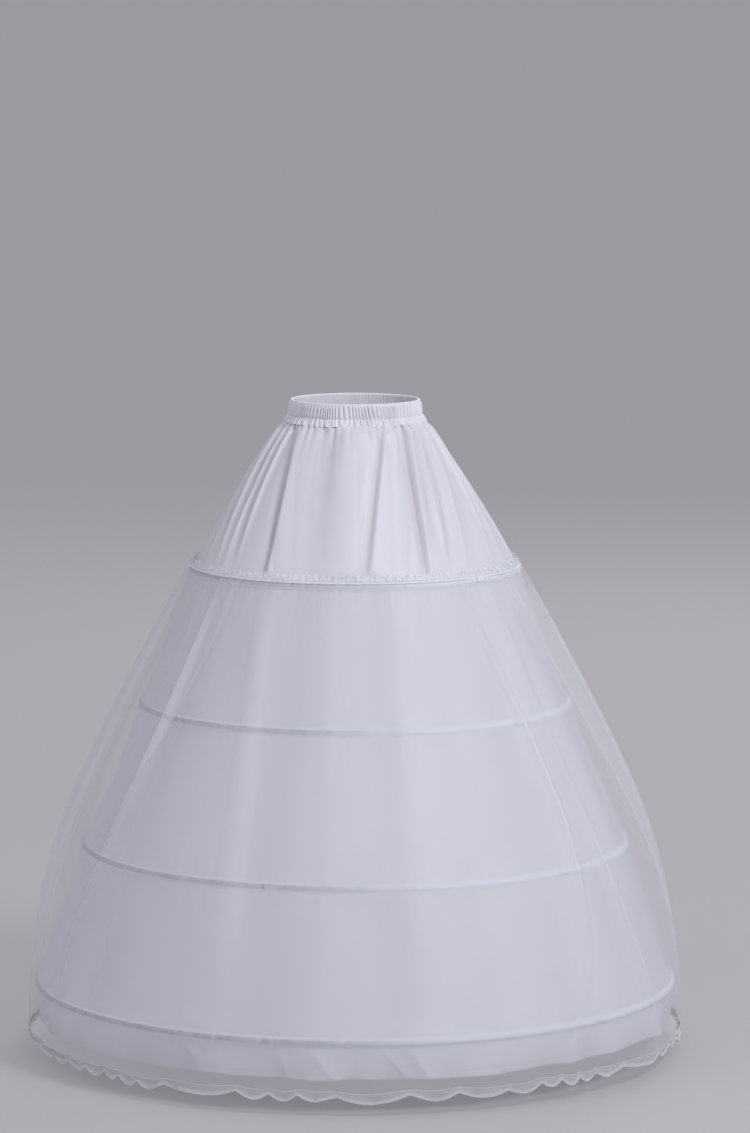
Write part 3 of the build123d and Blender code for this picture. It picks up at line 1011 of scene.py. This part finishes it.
def headingPoint(turn, share):
    # Share runs from -1 at the lower edge through the seam at zero to 1 at the raw edge
    dice = diceOf(heading["seed"])
    wave = gatherWave(turn, heading["gathers"], dice, 1.2)
    ragged = softWave(turn, (37, 61, 97, 151, 223), dice)
    reach = np.where(share > 0, heading["rise"] * (1 + 0.35 * ragged), heading["drop"])
    spreadOut = heading["depth"] * (wave - 0.3) * np.abs(share) ** 0.8
    lean = -heading["lean"] * np.maximum(share, 0) ** 1.2 + heading["flare"] * np.maximum(-share, 0)
    return onTurn(heading["seamRadius"] + spreadOut + lean, turn, headingLevel + reach * share)


def buildHeading():
    turn = turnsOf(heading["columns"])
    shares = np.linspace(1, -1, 11)
    rows = [headingPoint(turn, np.full_like(turn, share)) for share in shares]
    thin = -0.55 * np.maximum(shares, 0) ** 1.6
    return tubePiece("netHeading", np.array(rows), frillNet, 3.2, layers=thin[:, None] + 0 * turn)


def buildFrays():
    # Loose threads along the raw edge, each a short bent line
    count = heading["frays"]
    dice = diceOf(heading["seed"] + 1)
    turn = dice.uniform(0, fullTurn, count)
    root = headingPoint(turn, dice.uniform(-0.5, 0.95, count))
    out = onTurn(1.0, turn, 0.0)
    side = np.stack([np.cos(turn), np.sin(turn), 0 * turn], axis=-1)
    length = heading["frayLength"] * dice.uniform(0.5, 1.2, (count, 1))
    lean = dice.normal(0, 0.6, (count, 2))
    upward = np.array([0.0, 0.0, 0.8])
    middle = root + length * (0.45 * upward + 0.22 * out + 0.3 * lean[:, :1] * side)
    tip = root + length * (0.8 * upward + 0.45 * lean[:, 1:] * out + lean[:, :1] * side)
    paths = list(np.stack([root, middle, tip], axis=1))
    return layCord("headingFrays", paths, heading["frayThread"], 3, closed=False)


headingPiece = buildHeading()
headingFrays = buildFrays()
headingLine = onTurn(heading["seamRadius"] + 0.0010, ringTurn, headingLevel)
headingRow = sewRow("headingStitches", [headingLine], 0.0028, 0.00032, 7)
print("heading made")


# Lace edge: fluted band of fine ground with a scalloped double cord, a trellis and a header
lace = dict(
    columns=2600, rows=8, height=0.0165, flutes=44, flute=0.0066, lift=0.0032, repeats=520, seed=71,
    edgeCord=0.00070, innerCord=0.00036, innerAt=0.20, trellis=(0.10, 0.46),
)


def laceSurface(turn, share):
    dice = diceOf(lace["seed"])
    radius, z = netSurface(turn, np.ones_like(turn))
    wave = gatherWave(turn, lace["flutes"], dice, 1.3) - 0.5
    size = 0.75 + 0.35 * softWave(turn, (7, 12), dice)
    rise = softWave(turn, (23, 31, 44), dice)
    radius = radius + lace["flute"] * wave * size * share ** 1.2
    z = z - lace["height"] * share + lace["lift"] * share * (0.6 * wave + 0.35 * rise)
    return onTurn(radius, turn, z)


def scallop(turn):
    return np.abs(np.sin(lace["repeats"] * turn / 2))


def laceEdgeShare(turn):
    # Wide uneven lobes with small scallops along them
    return 0.42 + 0.44 * hemLobes(turn) + 0.14 * scallop(turn)


def buildLace():
    turn = turnsOf(lace["columns"])
    share = np.linspace(0, 1, lace["rows"])[:, None] * laceEdgeShare(turn)[None, :]
    turnGrid = np.broadcast_to(turn[None, :], share.shape)
    ground = tubePiece("laceGround", laceSurface(turnGrid, share), laceGround, 3.6)
    edgeTurn = turnsOf(lace["repeats"] * 8)
    edgeShare = laceEdgeShare(edgeTurn)
    zigTurn = turnsOf(lace["repeats"] * 2)
    high, low = lace["trellis"]
    zig = (low - high) * (np.arange(len(zigTurn)) % 2)
    inner = [
        laceSurface(edgeTurn, edgeShare - lace["innerAt"]),
        laceSurface(zigTurn, high + zig),
        laceSurface(zigTurn, low - zig),
        laceSurface(edgeTurn[::2], 0.03 + 0.02 * scallop(edgeTurn[::2])),
    ]
    edgePiece = layCord("laceEdgeCord", [laceSurface(edgeTurn, edgeShare)], lace["edgeCord"], 5)
    return ground, edgePiece, layCord("laceTrellis", inner, lace["innerCord"], 4)


lacePiece, laceEdge, laceTrellis = buildLace()
print("lace made")


# Sewn rows on the waistband, along the turned hem and down the middle of the back, just proud of the cloth
sewn = dict(bandProud=0.0003, proud=0.0004, hemRow=-10)


def gridOf(piece, columns):
    return np.array([vertex.co for vertex in piece.data.vertices]).reshape(-1, columns, 3)


def seamPath(piece, columns, first, last):
    path = gridOf(piece, columns)[first:last, columns // 2].copy()
    path[:, 1] += sewn["proud"]
    return path


bandTurn = turnsOf(band["columns"])
bandOut = bandRadius(bandTurn, np.full_like(bandTurn, band["row"])) + sewn["bandProud"]
bandRow = sewRow("waistbandStitches", [onTurn(bandOut, bandTurn, band["row"])], 0.0030, 0.0004, 5)
hemLine = gridOf(underskirtPiece, underskirt["columns"])[sewn["hemRow"]].copy()
hemRadius = np.hypot(hemLine[:, 0], hemLine[:, 1])[:, None]
hemLine[:, :2] *= (hemRadius + sewn["proud"]) / hemRadius
hemRow = sewRow("hemStitches", [hemLine], 0.0034, 0.00038, 9)
seamPaths = [
    seamPath(yokePiece, yoke["columns"], 3, -3),
    seamPath(underskirtPiece, underskirt["columns"], 3, -6),
]
seamRow = sewRow("backSeamStitches", seamPaths, 0.0032, 0.0004, 6, closed=False)
print("sewn rows made")


# What each piece stands for, its finish and the cloth it was cut from
pieceSlots = [
    (bandPiece, "satin", ["waistband"]), (yokePiece, "satin", ["yoke"]),
    (underskirtPiece, "satin", ["underskirt"]), (overskirtPiece, "net", ["overskirt"]),
    (headingPiece, "net", []), (lacePiece, "lace", ["lace_trim"]),
    (laceEdge, "lace", []), (laceTrellis, "lace", []), (bandRow, "satin", []), (hemRow, "satin", []),
    (headingRow, "net", []), (headingFrays, "net", []), (seamRow, "satin", []),
]
for name, piece, row in zip(casingNames, casingPieces, casingRows):
    pieceSlots.append((piece, "tape", [name + "_hoop_casing"]))
    pieceSlots.append((row, "tape", []))
pieceSlots.extend((piece, "tape", []) for piece in lapPieces + lapBars)
for piece, slotName, stoodFor in pieceSlots:
    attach(piece, "root")
    if stoodFor:
        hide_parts(*stoodFor)


def declareSheet(piece):
    # Prints the area of the piece and its count of triangles; the cut is as wide as its area over its length
    area = sheetArea(piece)
    print(piece.name, "area", round(area, 3), "triangles", len(piece.data.polygons) * 2)


hoopNames = [name + "_hoop" for name in casingNames]
declareSheet(bandPiece)
declareSheet(yokePiece)
declareSheet(underskirtPiece)
for hoopName, piece, row, over, bars in zip(hoopNames, casingPieces, casingRows, lapPieces, lapBars):
    declareSheet(piece)
declareSheet(overskirtPiece)
declareSheet(headingPiece)
declareSheet(lacePiece)


# Studio: pale floor, soft key from the right and front, weaker fill from the left, rim from behind
studio = dict(
    floor=-1.032, reach=400.0, floorColour=(0.64, 0.63, 0.65), floorGlow=(0.405, 0.394, 0.43), glowShare=0.5,
    world=(0.61, 0.61, 0.655), worldStrength=0.64,
    # place, aim, size, watts, colour
    lamps=dict(
        keyLamp=((2.4, -2.65, 2.6), (0, 0, -0.35), 1.4, 97.0, (1.0, 1.0, 1.0)),
        fillLamp=((-4.2, -2.6, 2.2), (0, 0, -0.3), 2.5, 32.0, (1.0, 0.99, 0.98)),
        rimLamp=((1.5, 5.5, 3.0), (0, 0, -0.4), 2.5, 70.0, (1.0, 1.0, 1.0)),
    ),
)

corners = ((-1, -1), (1, -1), (1, 1), (-1, 1))
floorMesh = bpy.data.meshes.new("studioFloor")
floorMesh.from_pydata(
    [(studio["reach"] * x, studio["reach"] * y, studio["floor"]) for x, y in corners], [], [(0, 1, 2, 3)]
)
floor = bpy.data.objects.new("studioFloor", floorMesh)
scene.collection.objects.link(floor)
floorPaint, floorShader, floorCoords = newMaterial("paleFloor")
floorTree = floorPaint.node_tree
floorDark = [c * 0.98 for c in studio["floorColour"]]
floorNoise = noiseNode(floorCoords["Object"], 3.0)
feed(floorShader, {
    "Base Color": colourMix(floorNoise, floorDark, studio["floorColour"]),
    "Roughness": 0.9,
    "Specular IOR Level": 0.1,
})
glow = addNode(floorTree, "ShaderNodeEmission", {"Color": (*studio["floorGlow"], 1.0)})
rays = addNode(floorTree, "ShaderNodeLightPath").outputs
seen = mathNode("MAXIMUM", rays["Is Camera Ray"], rays["Is Glossy Ray"])
seen = mathNode("MAXIMUM", seen, rays["Is Transmission Ray"])
share = mathNode("MULTIPLY", seen, studio["glowShare"])
blend = addNode(floorTree, "ShaderNodeMixShader", {0: share, 1: floorShader, 2: glow})
below = addNode(floorTree, "ShaderNodeNewGeometry").outputs["Backfacing"]
clear = addNode(floorTree, "ShaderNodeBsdfTransparent")
oneSided = addNode(floorTree, "ShaderNodeMixShader", {0: below, 1: blend, 2: clear})  # open from below
feed(floorTree.nodes["Material Output"], {"Surface": oneSided})
floorMesh.materials.append(floorPaint)

world = bpy.data.worlds.new("studioAir")
world.use_nodes = True
air = {"Color": (*studio["world"], 1.0), "Strength": studio["worldStrength"]}
feed(world.node_tree.nodes["Background"], air)
scene.world = world

for name, (place, aim, size, watts, colour) in studio["lamps"].items():
    lampData = bpy.data.lights.new(name, "AREA")
    lampData.shape = "DISK"
    lampData.size = size
    lampData.energy = watts
    lampData.color = colour
    lamp = bpy.data.objects.new(name, lampData)
    lamp.location = place
    toward = np.array(aim) - np.array(place)
    flat = math.hypot(toward[0], toward[1])
    lamp.rotation_euler = (math.pi / 2 + math.atan2(toward[2], flat), 0, math.atan2(-toward[0], toward[1]))
    scene.collection.objects.link(lamp)
scene.view_settings.view_transform = "Standard"
print("studio made")
